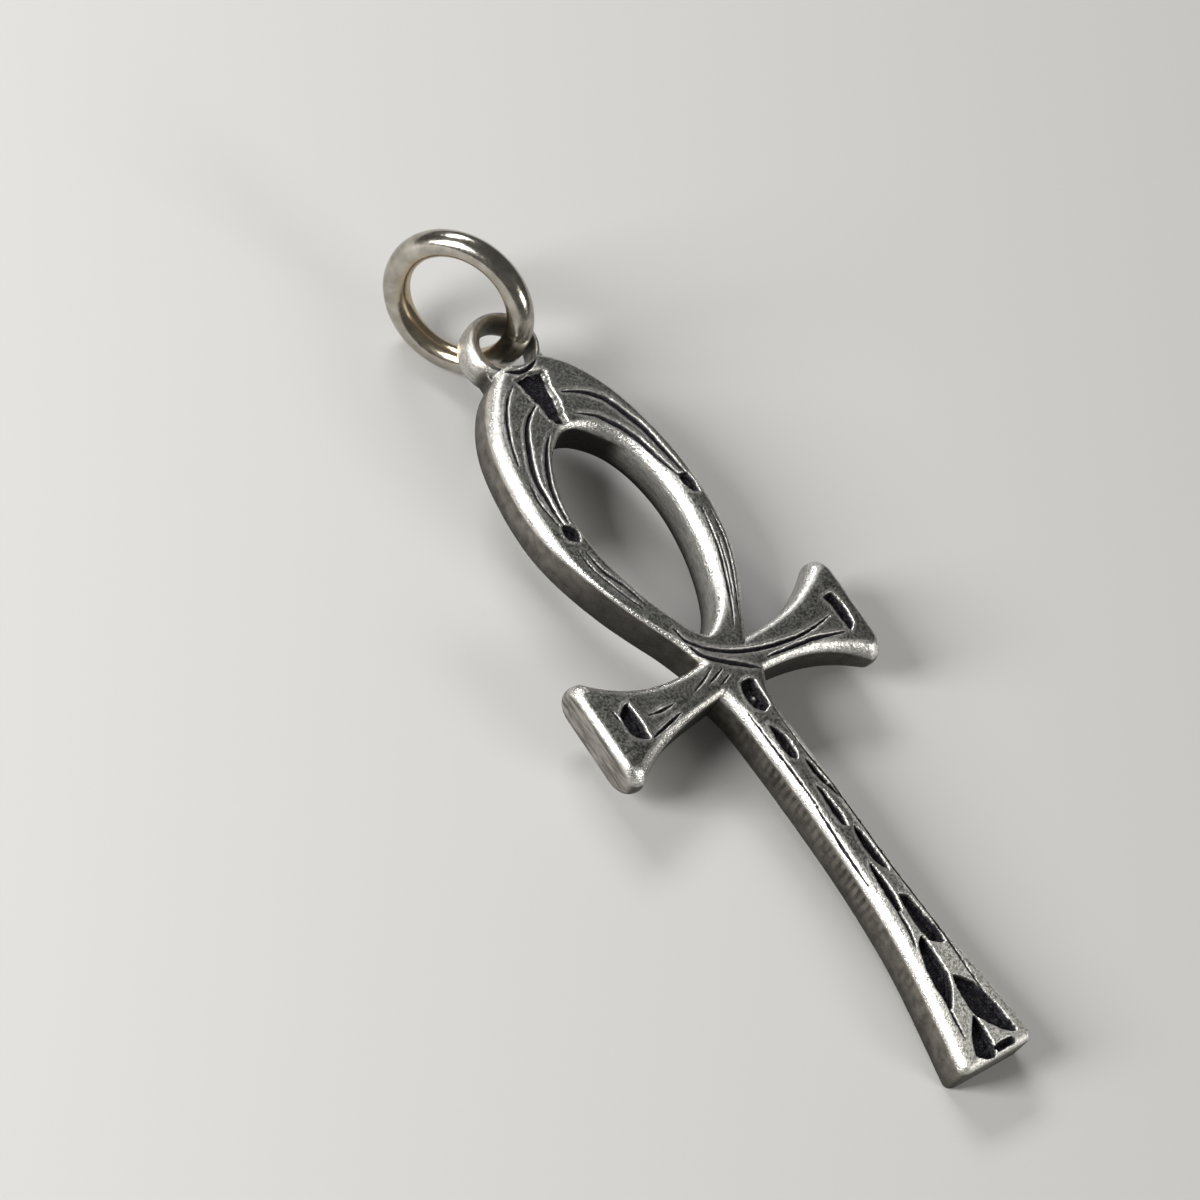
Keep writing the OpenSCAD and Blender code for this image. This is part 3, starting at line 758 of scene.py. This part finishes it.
# Masks, 0 to 1 at each point. A pair of numbers is where a mask starts and where it is full, or
# where it starts to fade and where it is gone: in mm for places, and as a part of the normal
# for how a surface faces.

CARVED_Z = (1.5, 1.9)
CARVED_FROM_Z = 1.6
LIP_UP = (0.2, 0.6)
WALL_UP = (0.3, 0.7)
EDGE_UP = (0.08, 0.5)
EDGE_TOP = (0.82, 0.97)

LOOP_MIDDLE = (0.2, 8.5)
OPENING_Y = (1.5, 15.5)
OPENING_FACING = (0.3, 0.8)
CROWN_Y = (11.6, 13.0)
LIT_Z = (0.3, 1.0)

EYE_FROM_Y = (18.7, 19.2)
EYE_LEFT_FACING = (0.0, 0.7)
BORE_EDGE = (-0.02, 0.16)
# Painted shade in the hollow under the eye's left side: its middle, its radius, and the heights
# where it fades and is gone
NECK_SHADE_AT = (-1.55, 18.8)
NECK_SHADE_R = 0.6
NECK_SHADE_Z = (1.9, 2.3)

LIMB_FACING = (0.5, 0.8)
LIMB_FROM_Y = (1.0, 2.0)
LIMB_TO_Y = (5.5, 9.5)
UNDER_FACING = (0.4, 0.9)
UNDER_FROM_X = 1.2
END_FROM = 0.25
END_FULL = 0.05
DULL_FOOT = (15, 20)
# Painted shade low down on the walls: where it starts to fade and where it is gone
LOW_SHADE_Z = (0.15, 1.5)

PALE_FOOT = (10, 18)
PALE_BORDER_X = (-0.62, -0.42)
PALE_BORDER_DOWN = (2.2, 4.5)
PALE_UP = (0.3, 0.8)

FILED_Z = 1.25
FILED_HALF = 0.62
FILED_DRIFT = 0.12
FILED_FACING = (0.6, 0.9)
FILED_FROM = (2.4, 3.2)
FILED_TO = (17, 20)
FILED_FADE = (0.5, 1.0)
FILED_UNEVEN = 0.25
FILED_LIMB = 0.8

# How strongly each place is rubbed bright (on the eye's left side partly as a painted highlight),
# is less so, or is painted with shade
RUBBED_OPENING = 0.85
EYE_LEFT_POLISH_AND_HIGHLIGHT = 0.75
RUBBED_EYE = 0.12
BORE_SHADE_DULLING = 0.9
DULL_FOOT_SHARE = 0.35
SHADE_BORE = 0.9
SHADE_LIMB = 0.75
SHADE_UNDER = 0.8


def shaft_share(down, start, end):
    """How much places lie beyond the start and before the end of a stretch of the shaft."""
    return smoothstep(down, *start) * (1 - smoothstep(down, *end))


def limb_wall(co, no):
    """The lower half of the loop's left outer wall."""
    y = co[:, 1]
    return (smoothstep(-no[:, 0], *LIMB_FACING) * smoothstep(y, *LIMB_FROM_Y)
            * (1 - smoothstep(y, *LIMB_TO_Y)) * (co[:, 0] < 0))


def filed_wall(co, no):
    """Where the left walls of shaft and loop show the strokes of a file."""
    y, z = co[:, 1], co[:, 2]
    drift = grain("file", np.column_stack([np.zeros(len(co)), y, np.zeros(len(co))]))
    reach = np.abs(z - FILED_Z - FILED_DRIFT * drift) / FILED_HALF
    strokes = smoothstep(-no[:, 0], *FILED_FACING) * shaft_share(-y, FILED_FROM, FILED_TO)
    strokes += FILED_LIMB * limb_wall(co, no)
    even = 1 - FILED_UNEVEN + FILED_UNEVEN * drift
    return strokes * (1 - smoothstep(reach, *FILED_FADE)) * even


def carved_masks(co, no):
    """Dark floors of the carving and its bright lips."""
    dark, lip = np.zeros(len(co)), np.zeros(len(co))
    k = np.flatnonzero(co[:, 2] > CARVED_FROM_Z)
    _, dark[k], lip[k] = carve(co[k])
    share = smoothstep(co[:, 2], *CARVED_Z) * (co[:, 1] < FACE_END_Y)
    return dark * share, lip * share * smoothstep(no[:, 2], *LIP_UP)


def opening_masks(co, no, wall):
    """The loop's inner wall, where it is rubbed bright and where it lies in shade."""
    middle = np.array(LOOP_MIDDLE) - co[:, :2]
    inward = (no[:, :2] * middle).sum(1) / np.maximum(np.linalg.norm(middle, axis=1), 1e-6)
    within = (co[:, 1] > OPENING_Y[0]) & (co[:, 1] < OPENING_Y[1])
    opening = wall * smoothstep(inward, *OPENING_FACING) * within
    crown, lit = smoothstep(co[:, 1], *CROWN_Y), smoothstep(co[:, 2], *LIT_Z)
    return opening * (1 - crown) * lit, opening * np.maximum(crown, 1 - lit)


def eye_masks(co, no):
    """The eye, the wall of its hole, which gets painted shade, and its left side, which is rubbed
    bright and partly gets a painted highlight.
    """
    eye = smoothstep(co[:, 1], *EYE_FROM_Y)
    from_hole = np.hypot(co[:, 0] - EYE_X - EYE_SKEW, co[:, 1] - EYE_Y) - EYE_HOLE_R
    bore = eye * (1 - smoothstep(from_hole, *BORE_EDGE))
    return eye, bore, eye * smoothstep(-no[:, 0], *EYE_LEFT_FACING) * (1 - bore)


def neck_painted_shade(co):
    """Painted shade in the hollow where the eye's left side meets the loop."""
    from_neck = np.hypot(co[:, 0] - NECK_SHADE_AT[0], co[:, 1] - NECK_SHADE_AT[1])
    return np.exp(-(from_neck / NECK_SHADE_R) ** 2) * (1 - smoothstep(co[:, 2], *NECK_SHADE_Z))


def pale_face(co, no):
    """Paler face towards the foot and along the shaft's right border."""
    down = -co[:, 1]
    steps = np.linspace(0, 1, len(SHAFT))
    right_side = FOOT_HALF_W * np.interp(down / SHAFT_LEN, steps, SHAFT[:, 1])
    border = smoothstep(co[:, 0] - right_side, *PALE_BORDER_X) * smoothstep(down, *PALE_BORDER_DOWN)
    return np.maximum(smoothstep(down, *PALE_FOOT), border) * smoothstep(no[:, 2], *PALE_UP)


def paint_masks(mesh):
    """Masks for the material: dark oxide, worn edges with a painted highlight on the eye's left,
    side walls, painted shade, ends and file strokes.
    """
    co, no = coords(mesh), normals(mesh)
    dark, lip = carved_masks(co, no)
    bare = 1 - dark
    wall = 1 - smoothstep(np.abs(no[:, 2]), *WALL_UP)
    rim = (1 - smoothstep(no[:, 2], *EDGE_TOP)) * smoothstep(no[:, 2], *EDGE_UP)
    opening, opening_shade = opening_masks(co, no, wall)
    eye, bore, lit_eye_left = eye_masks(co, no)
    # Painted shade in the hollow where the eye meets the loop
    neck = neck_painted_shade(co)
    # Polish on worn edges; on the eye's left side it is partly a painted highlight
    rubbed = np.maximum.reduce([rim * (1 - eye), RUBBED_OPENING * opening,
                                EYE_LEFT_POLISH_AND_HIGHLIGHT * lit_eye_left, RUBBED_EYE * eye])
    # No polish where the eye's hole and the neck hollow are painted with shade
    rubbed *= (1 - BORE_SHADE_DULLING * bore) * (1 - neck)
    rubbed *= 1 - DULL_FOOT_SHARE * smoothstep(-co[:, 1], *DULL_FOOT)
    # Painted shade on the lower half of the loop's left outer wall
    limb = SHADE_LIMB * wall * limb_wall(co, no)
    across = np.abs(co[:, 0])
    # Painted shade on walls that face down, such as under the arms
    under = SHADE_UNDER * wall * smoothstep(-no[:, 1], *UNDER_FACING) * (across > UNDER_FROM_X)
    masks = {
        "oxide": dark,
        # Polish, with a painted highlight on the eye's left side
        "polish_and_highlight": np.maximum(rubbed * bare, lip),
        # The neck's painted shade counts as side wall here, so that the walls' colour with its
        # shade reaches it
        "side": np.maximum.reduce([wall, eye, neck]) * bare,
        "filed": filed_wall(co, no),
        # Painted shade: in the eye's hole, low down and at the crown on the loop's inner wall, on
        # walls that face down, in the neck hollow and on the left limb's wall
        "shade": np.maximum.reduce([SHADE_BORE * bore, opening_shade, under, neck, limb]),
        "end": wall * smoothstep(across, ARM_LEN - END_FROM, ARM_LEN - END_FULL),
        "pale": pale_face(co, no) * bare,
        # Painted shade on the walls low down, near the back
        "low": 1 - smoothstep(co[:, 2], *LOW_SHADE_Z),
    }
    for name, values in masks.items():
        set_mask(mesh, name, np.clip(values, 0, 1))


# The ring

def jump_ring():
    """Round wire ring with its closed seam and a slightly worn, uneven surface."""
    n, m = RING_AROUND, RING_ACROSS
    a = np.linspace(0, 2 * math.pi, n, endpoint=False)
    b = np.linspace(0, 2 * math.pi, m, endpoint=False)
    aa, bb = [g.ravel() for g in np.meshgrid(a, b, indexing="ij")]
    mid = RING_R * np.column_stack([np.cos(aa), np.sin(aa), np.zeros(len(aa))])
    out = np.column_stack([np.cos(bb) * np.cos(aa), np.cos(bb) * np.sin(aa), np.sin(bb)])
    from_seam = RING_R * np.abs(np.angle(np.exp(1j * (aa - math.radians(SEAM_AT)))))
    rough = grain("wire", mid + out * WIRE_R)
    sink = SEAM_DEPTH * np.exp(-(from_seam / SEAM_W) ** 2) + WIRE_WEAR * (1 + rough) / 2
    co = mid + out * (WIRE_R - sink)[:, None]
    faces = [(i * m + j, ((i + 1) % n) * m + j, ((i + 1) % n) * m + (j + 1) % m,
              i * m + (j + 1) % m) for i in range(n) for j in range(m)]
    obj = new_object("wire_ring", co, faces)
    # Painted warm reflection on the wire's inner side
    set_mask(obj.data, "inner", smoothstep(-np.cos(bb), *WIRE_REFLECTION_RANGE))
    turn = (Matrix.Rotation(math.pi + RING_TURN, 4, "Z")
            @ Matrix.Rotation(math.pi / 2 - RING_LEAN, 4, "Y"))
    low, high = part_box("jump_ring")
    obj.data.transform(Matrix.Translation((low + high) / 2) @ Matrix.Scale(MM, 4) @ turn)
    obj.data.shade_smooth()
    return obj


# Materials

# Noises of the metal: number per mm, detail, roughness, stretch along each direction
FINE_GRAIN = (7.5, 3.0, 0.7)
MOTTLE = (1.6, 4.0)
SPECKS = (14.0, 1.0)
BRUSHED = (4.0, 2.0, 0.5, (1, 0.25, 1))
STREAKS = (5.0, 3.0, 0.6, (1, 0.14, 1))
WIRE_MOTTLE = (1.3, 3.0)
WIRE_GRAIN = (7.0, 2.0)

# How a noise turns into a share or a value: the noise at both ends of the range, and what comes
# out there where that isn't 0 and 1
GRAIN_RANGE = (0.4, 0.64)
MOTTLE_RANGE = (0.4, 0.8, 0.0, 0.5)
SIDE_RANGE = (0.3, 0.7)
STROKE_RANGE = (0.42, 0.78)
PALE_RANGE = (0.36, 0.62, 0.3, 1.0)
END_RANGE = (0.35, 0.65)
WORN_RANGE = (0.3, 0.52, 0.5, 1.0)
STREAK_RANGE = (0.38, 0.56, 0.62, 1.0)
OXIDE_RANGE = (0.48, 0.72)
CAST_ROUGHNESS = (0.3, 0.7, 0.40, 0.56)
WIRE_RANGE = (0.3, 0.7)
WIRE_ROUGHNESS = (0.3, 0.7, 0.14, 0.25)

# File strokes: their step in mm, how they wander, and the wave texture's own step at scale 1
FILE_STROKE = 0.42
STROKE_DISTORTION = 1.6
WAVE_STEP = math.pi / 10

# How strongly a mask changes colour, roughness or metal
# The first share below darkens the walls low down with painted shade
LOW_SHADE_SHARE = 0.75
STROKE_SHARE = 0.85
SHADE_SHARE = 0.92
# Strength of the ring's painted warm reflection is the share below
WARM_REFLECTION_SHARE = 0.5
WORN_SMOOTHER = 0.24
OXIDE_ROUGHER = 0.2
PALE_LESS_METAL = 0.4

# Height of the metal's grain in mm, and how much of it the specks and the wire's fine grain have
CAST_BUMP = 0.034
WIRE_BUMP = 0.010
SPECK_HEIGHT = 0.6
WIRE_GRAIN_HEIGHT = 0.35

# Linear colours of the oxidised casting, darker first where there are two
GRAIN_COLOURS = (0.065, 0.067, 0.062), (0.285, 0.285, 0.265)
CAST_GREY = (0.28, 0.28, 0.26)
SIDE_COLOURS = (0.11, 0.10, 0.086), (0.29, 0.272, 0.24)
# Painted shade low down on the walls
LOW_SIDE_SHADE = (0.045, 0.042, 0.04)
STROKE_DARK = (0.035, 0.03, 0.027)
SHADE_DARK = (0.03, 0.027, 0.024)
PALE_SILVER = (0.80, 0.78, 0.72)
END_COLOURS = (0.16, 0.15, 0.135), (0.42, 0.40, 0.37)
POLISHED = (0.86, 0.845, 0.81)
OXIDE_COLOURS = (0.018, 0.017, 0.021), (0.085, 0.082, 0.09)

# Linear colours of the wire, and of the floor
WIRE_COLOURS = (0.34, 0.316, 0.272), (0.55, 0.52, 0.465)
# Painted warm reflection on the ring's inner side
WIRE_WARM_REFLECTION = (0.70, 0.53, 0.30)
FLOOR_COLOUR = (0.55, 0.545, 0.535, 1.0)
FLOOR_ROUGHNESS = 0.9


class Nodes:
    """Short way to build a material's node tree."""

    def __init__(self, name):
        self.material = bpy.data.materials.new(name)
        self.material.use_nodes = True
        self.tree = self.material.node_tree
        self.shader = self.tree.nodes["Principled BSDF"]

    def add(self, kind, **values):
        """New node, with values for its sockets and settings."""
        node = self.tree.nodes.new(kind)
        for key, value in values.items():
            if key in node.inputs:
                node.inputs[key].default_value = value
            else:
                setattr(node, key, value)
        return node

    def link(self, output, target):
        self.tree.links.new(output, target)

    def mask(self, name):
        return self.add("ShaderNodeAttribute", attribute_name=name).outputs["Fac"]

    def scaled(self, scale):
        """Place on the object, scaled in each direction."""
        node = self.add("ShaderNodeMapping", Scale=scale)
        self.link(self.add("ShaderNodeTexCoord").outputs["Object"], node.inputs["Vector"])
        return node.outputs["Vector"]

    def noise(self, per_mm, detail=3.0, rough=0.55, stretch=(1, 1, 1)):
        noise = self.add("ShaderNodeTexNoise", Scale=1.0, Detail=detail, Roughness=rough)
        self.link(self.scaled([s * per_mm / MM for s in stretch]), noise.inputs["Vector"])
        return noise.outputs["Fac"]

    def bands(self, step_mm):
        """Uneven strokes across the length, one every step."""
        wave = self.add("ShaderNodeTexWave", bands_direction="Y", Scale=WAVE_STEP / step_mm,
                        Distortion=STROKE_DISTORTION, Detail=1.0)
        self.link(self.scaled((1 / MM, 1 / MM, 1 / MM)), wave.inputs["Vector"])
        return wave.outputs["Fac"]

    def ranged(self, value, low, high, to_low=0.0, to_high=1.0):
        """Value taken from one range to another."""
        node = self.add("ShaderNodeMapRange")
        ends = {"From Min": low, "From Max": high, "To Min": to_low, "To Max": to_high}
        for key, number in ends.items():
            node.inputs[key].default_value = number
        self.link(value, node.inputs["Value"])
        return node.outputs["Result"]

    def math(self, operation, a, b):
        node = self.add("ShaderNodeMath", operation=operation)
        for socket, value in zip(node.inputs, (a, b)):
            if isinstance(value, (int, float)):
                socket.default_value = value
            else:
                self.link(value, socket)
        return node.outputs[0]

    def times(self, a, b):
        return self.math("MULTIPLY", a, b)

    def blend(self, share, a, b):
        """Mix of two colours."""
        node = self.add("ShaderNodeMix", data_type="RGBA")
        self.link(share, node.inputs["Factor"])
        colour_sockets = [s for s in node.inputs if s.type == "RGBA"]
        for socket, value in zip(colour_sockets, (a, b)):
            if isinstance(value, tuple):
                socket.default_value = (*value, 1.0)
            else:
                self.link(value, socket)
        return next(s for s in node.outputs if s.type == "RGBA")

    def bump(self, height, depth_mm):
        node = self.add("ShaderNodeBump", Distance=depth_mm * MM)
        self.link(height, node.inputs["Height"])
        return node.outputs["Normal"]


def cast_face(n, fine, mottle, pale):
    """Grainy grey of the cast face, paler towards the foot and along the shaft's right border."""
    grey = n.blend(n.ranged(fine, *GRAIN_RANGE), *GRAIN_COLOURS)
    grey = n.blend(n.ranged(mottle, *MOTTLE_RANGE), grey, CAST_GREY)
    return n.blend(pale, grey, PALE_SILVER)


def side_walls(n, mottle, strokes):
    """Brownish grey of the walls, darker in file strokes, with painted shade low down and where the
    shade mask lies.
    """
    side = n.blend(n.ranged(mottle, *SIDE_RANGE), *SIDE_COLOURS)
    # Painted shade low down on the walls
    side = n.blend(n.times(n.mask("low"), LOW_SHADE_SHARE), side, LOW_SIDE_SHADE)
    side = n.blend(n.times(strokes, STROKE_SHARE), side, STROKE_DARK)
    return n.blend(n.times(n.mask("shade"), SHADE_SHARE), side, SHADE_DARK)


def oxidised_silver():
    """Dark matte oxide in the recesses, grey cast faces, painted shade on some walls, and silver
    where it is rubbed bright, on the eye's left side partly as a painted highlight.
    """
    n = Nodes("oxidised_silver")
    fine, mottle, speck = n.noise(*FINE_GRAIN), n.noise(*MOTTLE), n.noise(*SPECKS)
    strokes = n.times(n.mask("filed"), n.ranged(n.bands(FILE_STROKE), *STROKE_RANGE))
    pale = n.times(n.mask("pale"), n.ranged(fine, *PALE_RANGE))
    face, side = cast_face(n, fine, mottle, pale), side_walls(n, mottle, strokes)
    end = n.blend(n.ranged(n.noise(*BRUSHED), *END_RANGE), *END_COLOURS)
    body = n.blend(n.mask("end"), n.blend(n.mask("side"), face, side), end)
    # Polished silver, on the eye's left side partly a painted highlight
    worn = n.times(n.mask("polish_and_highlight"), n.ranged(fine, *WORN_RANGE))
    worn = n.times(worn, n.ranged(n.noise(*STREAKS), *STREAK_RANGE))
    oxide = n.blend(n.ranged(speck, *OXIDE_RANGE), *OXIDE_COLOURS)
    colour = n.blend(n.mask("oxide"), n.blend(worn, body, POLISHED), oxide)
    n.link(colour, n.shader.inputs["Base Color"])
    rough = n.math("SUBTRACT", n.ranged(fine, *CAST_ROUGHNESS), n.times(worn, WORN_SMOOTHER))
    rough = n.math("ADD", rough, n.times(n.mask("oxide"), OXIDE_ROUGHER))
    n.link(rough, n.shader.inputs["Roughness"])
    metal = n.math("SUBTRACT", 1.0, n.times(pale, PALE_LESS_METAL))
    n.link(metal, n.shader.inputs["Metallic"])
    height = n.math("SUBTRACT", n.math("ADD", fine, n.times(speck, SPECK_HEIGHT)), strokes)
    n.link(n.bump(height, CAST_BUMP), n.shader.inputs["Normal"])
    return n.material


def ring_silver():
    """Polished silver wire with a painted warm reflection on the ring's inside, and a faintly
    mottled surface.
    """
    n = Nodes("ring_silver")
    mottle, fine = n.noise(*WIRE_MOTTLE), n.noise(*WIRE_GRAIN)
    wire = n.blend(n.ranged(mottle, *WIRE_RANGE), *WIRE_COLOURS)
    # Painted warm reflection on the ring's inner side
    wire = n.blend(n.times(n.mask("inner"), WARM_REFLECTION_SHARE), wire, WIRE_WARM_REFLECTION)
    n.link(wire, n.shader.inputs["Base Color"])
    n.link(n.ranged(fine, *WIRE_ROUGHNESS), n.shader.inputs["Roughness"])
    n.shader.inputs["Metallic"].default_value = 1.0
    height = n.math("ADD", n.times(fine, WIRE_GRAIN_HEIGHT), mottle)
    n.link(n.bump(height, WIRE_BUMP), n.shader.inputs["Normal"])
    return n.material


def plain_floor():
    n = Nodes("pale_floor")
    n.shader.inputs["Base Color"].default_value = FLOOR_COLOUR
    n.shader.inputs["Roughness"].default_value = FLOOR_ROUGHNESS
    return n.material


# Stage

# Camera's place and turn in the pendant's frame, in mm and degrees, its lens in mm, and how near
# and far it sees, in metres
CAMERA_AT = (-101.2862, -37.0613, 162.0043)
CAMERA_TURN = (28.5124, -18.7049, -35.653)
LENS = 120.0
SENSOR = 36.0
CLIP = (0.005, 10.0)

# Soft lights: direction and distance from the floor under the pendant's middle, and size, in mm,
# then power in watts and colour
LIGHTS = {
    "key": ((-0.82, 0.30, 0.50), 260, (90, 140), 0.85, (1.0, 0.99, 0.97)),
    "top": ((0.1, 0.85, 0.65), 300, (160, 60), 0.5, (1.0, 1.0, 1.0)),
    "fill": ((0.35, -0.85, 0.45), 320, (120, 80), 0.35, (1.0, 0.98, 0.94)),
}
STUDIO_COLOUR = (1.0, 0.99, 0.955, 1.0)
STUDIO_STRENGTH = 0.12
FLOOR_HALF = 1.5


def camera():
    """Camera at the photograph's angle, set in the pendant's frame."""
    place = placement()
    own_turn = Euler([math.radians(a) for a in CAMERA_TURN], "XYZ").to_matrix()
    turn = place.to_quaternion().to_matrix() @ own_turn
    data = bpy.data.cameras.new("photo_camera")
    data.lens = LENS
    data.sensor_width = SENSOR
    data.clip_start, data.clip_end = CLIP
    obj = bpy.data.objects.new("photo_camera", data)
    obj.matrix_world = Matrix.Translation(place @ Vector(CAMERA_AT)) @ turn.to_4x4()
    bpy.context.scene.collection.objects.link(obj)
    bpy.context.scene.camera = obj


def soft_light(name, direction, distance_mm, size_mm, watts, colour):
    """Soft rectangular light that shines from a direction at the floor under the pendant."""
    data = bpy.data.lights.new(name, "AREA")
    data.shape = "RECTANGLE"
    data.size, data.size_y = size_mm[0] * MM, size_mm[1] * MM
    data.energy = watts
    data.color = colour
    obj = bpy.data.objects.new(name, data)
    d = Vector(direction).normalized()
    obj.location = d * distance_mm * MM
    obj.rotation_euler = d.to_track_quat("Z", "Y").to_euler()
    bpy.context.scene.collection.objects.link(obj)


def stage():
    """Pale floor, faint even light all around, soft lights and the camera."""
    s = FLOOR_HALF
    floor = new_object("floor", [(-s, -s, 0), (s, -s, 0), (s, s, 0), (-s, s, 0)], [(0, 1, 2, 3)])
    floor.data.materials.append(plain_floor())
    world = bpy.data.worlds.new("studio")
    bpy.context.scene.world = world
    world.use_nodes = True
    back = world.node_tree.nodes["Background"]
    back.inputs["Color"].default_value = STUDIO_COLOUR
    back.inputs["Strength"].default_value = STUDIO_STRENGTH
    bpy.context.scene.view_settings.view_transform = "Standard"
    for name, values in LIGHTS.items():
        soft_light(name, *values)
    camera()


# Assembly

body = casting()
body.data.materials.append(oxidised_silver())
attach(body, "root")
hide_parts("ankh")

ring = jump_ring()
ring.data.materials.append(ring_silver())
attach(ring, "root")
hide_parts("jump_ring")

stage()
